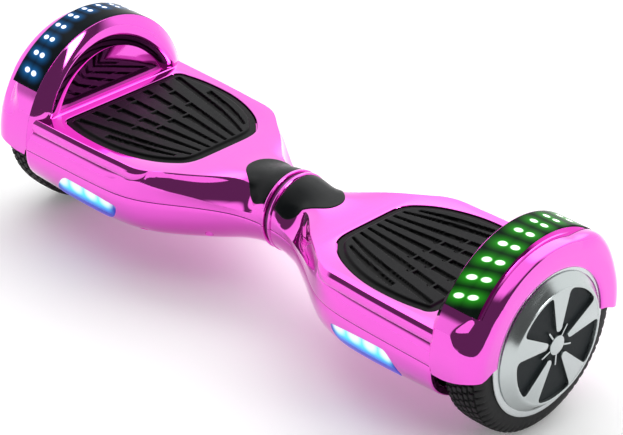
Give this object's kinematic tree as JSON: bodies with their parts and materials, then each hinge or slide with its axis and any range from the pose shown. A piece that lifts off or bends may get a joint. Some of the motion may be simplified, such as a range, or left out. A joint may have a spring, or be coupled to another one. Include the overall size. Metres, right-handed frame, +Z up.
{
  "type": "self balancing hoverboard",
  "caption": "Two tilting footboards joined at a central pivot, with a wheel under an arched fender at each end, lit strips and rubber pads.",
  "frame": {"origin": "on the floor, midway between the wheels", "axes": "+X along the wheel axles towards the half with green lights, -Y to the front with the headlights, +Z up"},
  "size_m": [0.584, 0.1886, 0.1785],
  "materials": {
    "pink_shell": "electroplated mirror pink",
    "trim_black": "satin",
    "pad_rubber": "matte",
    "lens_black": "gloss",
    "board_green": "satin",
    "led_green": "lit green",
    "led_blue": "lit blue",
    "headlight": "lit blue white",
    "frame_alloy": "cast",
    "screw_steel": "plated",
    "shaft_steel": "ground",
    "core_steel": "laminated",
    "copper": "enamelled copper",
    "tyre_black": "matte",
    "rim_alloy": "machined",
    "hub_silver": "brushed silver",
    "window_dark": "satin",
    "magnet_metal": "nickel",
    "bush_brass": "bronze",
    "ring_purple": "gloss",
    "battery_wrap": "shrink wrap",
    "port_metal": "plated",
    "cap_rubber": "matte",
    "button_black": "gloss"
  },
  "bodies": {
    "left_half": {"left_upper_cover": "pink_shell", "left_lower_cover": "pink_shell", "left_center_trim": "trim_black", "left_led_lens": "lens_black", "left_led_board": "board_green", "left_led_chips": "led_blue", "left_headlight_lens": "headlight", "left_headlight_board": "board_green", "left_frame": "frame_alloy", "left_axle_clamp": "frame_alloy", "left_clamp_bolts": "screw_steel", "left_sensor_board": "board_green", "left_axle": "shaft_steel", "left_stator": "core_steel", "left_windings": "copper", "left_shell_screws": "screw_steel", "pivot_shaft": "shaft_steel", "shaft_circlip": "screw_steel", "thrust_washer": "bush_brass", "pivot_ring": "ring_purple", "battery_pack": "battery_wrap"},
    "right_half": {"right_upper_cover": "pink_shell", "right_lower_cover": "pink_shell", "right_center_trim": "trim_black", "right_led_lens": "lens_black", "right_led_board": "board_green", "right_led_chips": "led_green", "right_headlight_lens": "headlight", "right_headlight_board": "board_green", "right_frame": "frame_alloy", "right_axle_clamp": "frame_alloy", "right_clamp_bolts": "screw_steel", "right_sensor_board": "board_green", "right_axle": "shaft_steel", "right_stator": "core_steel", "right_windings": "copper", "right_shell_screws": "screw_steel", "pivot_bushes": "bush_brass", "main_board": "board_green", "charge_port": "port_metal"},
    "left_wheel": {"left_tyre": "tyre_black", "left_rim": "rim_alloy", "left_hub_cover_inner": "rim_alloy", "left_hub_cover_outer": "hub_silver", "left_hub_insert": "window_dark", "left_hub_screws": "screw_steel", "left_magnets": "magnet_metal", "left_bearings": "shaft_steel"},
    "right_wheel": {"right_tyre": "tyre_black", "right_rim": "rim_alloy", "right_hub_cover_inner": "rim_alloy", "right_hub_cover_outer": "hub_silver", "right_hub_insert": "window_dark", "right_hub_screws": "screw_steel", "right_magnets": "magnet_metal", "right_bearings": "shaft_steel"},
    "left_pad": {"left_foot_pad": "pad_rubber"},
    "right_pad": {"right_foot_pad": "pad_rubber"},
    "cap": {"charge_cap": "cap_rubber"},
    "button": {"power_button": "button_black"}
  },
  "joints": [
    {"name": "pivot_twist", "type": "hinge", "parent": "left_half", "child": "right_half", "pos_m": [0, 0, 0.084], "axis": [1, 0, 0], "range_deg": [-12, 12]},
    {"name": "left_wheel_spin", "type": "hinge", "parent": "left_half", "child": "left_wheel", "pos_m": [-0.261, 0, 0.084], "axis": [1, 0, 0], "continuous": true},
    {"name": "right_wheel_spin", "type": "hinge", "parent": "right_half", "child": "right_wheel", "pos_m": [0.261, 0, 0.084], "axis": [1, 0, 0], "continuous": true},
    {"name": "left_pad_press", "type": "slide", "parent": "left_half", "child": "left_pad", "axis": [0, 0, 1], "range_m": [-0.0015, 0], "stiffness_N_per_m": 3000, "springref_m": 0.001},
    {"name": "right_pad_press", "type": "slide", "parent": "right_half", "child": "right_pad", "axis": [0, 0, 1], "range_m": [-0.0015, 0], "stiffness_N_per_m": 3000, "springref_m": 0.001},
    {"name": "charge_cap_hinge", "type": "hinge", "parent": "right_half", "child": "cap", "pos_m": [0.14, 0.09315, 0.0781], "axis": [1, 0, 0], "range_deg": [0, 105]},
    {"name": "power_press", "type": "slide", "parent": "right_half", "child": "button", "axis": [0, 1, 0], "range_m": [-0.001, 0], "stiffness_N_per_m": 800, "springref_m": 0.001}
  ]
}
